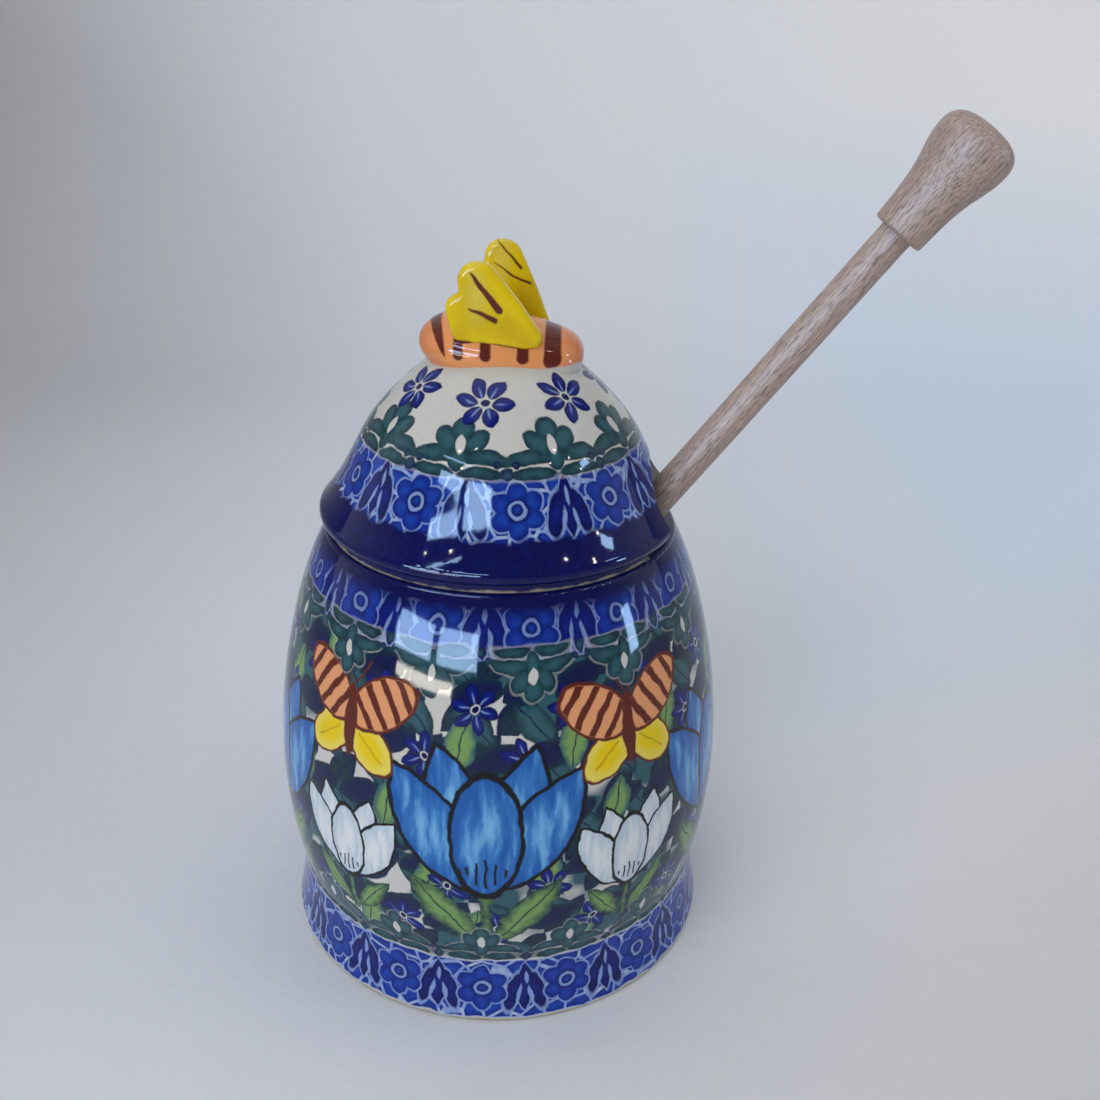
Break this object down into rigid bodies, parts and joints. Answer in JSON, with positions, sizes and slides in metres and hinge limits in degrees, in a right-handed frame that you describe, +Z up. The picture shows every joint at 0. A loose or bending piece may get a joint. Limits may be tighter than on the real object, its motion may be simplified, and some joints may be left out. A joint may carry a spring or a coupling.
{
  "type": "honey pot",
  "caption": "Round stoneware honey pot with a loose domed lid, a bee-shaped finial, an arched notch in the lid's rim and a wooden honey dipper that leans out through it.",
  "frame": {"origin": "centre of the pot's flat base, on the surface it stands on", "axes": "+Z up along the pot's axis, +X towards the notch and the leaning dipper, -Y towards the painted front"},
  "size_m": [0.1439, 0.0984, 0.1802],
  "materials": {
    "glazed_stoneware": "clear gloss glaze over painted cobalt, green and cream decoration",
    "bee_orange_glaze": "clear gloss glaze over peach orange with dark brown stripes",
    "wing_yellow_glaze": "clear gloss glaze over yellow with brown veins",
    "beech": "sanded satin beech"
  },
  "bodies": {
    "pot": {"pot": "glazed_stoneware"},
    "lid": {"lid": "glazed_stoneware", "bee_body": "bee_orange_glaze", "bee_wing_front": "wing_yellow_glaze", "bee_wing_rear": "wing_yellow_glaze"},
    "dipper": {"dipper_rod": "beech", "dipper_head": "beech", "dipper_knob": "beech"}
  },
  "joints": [
    {"name": "lid_lift", "type": "slide", "parent": "pot", "child": "lid", "axis": [0, 0, 1], "range_m": [0, 0.11]},
    {"name": "dipper_draw", "type": "slide", "parent": "pot", "child": "dipper", "axis": [0.598, 0, 0.8015], "range_m": [0, 0.065]}
  ]
}
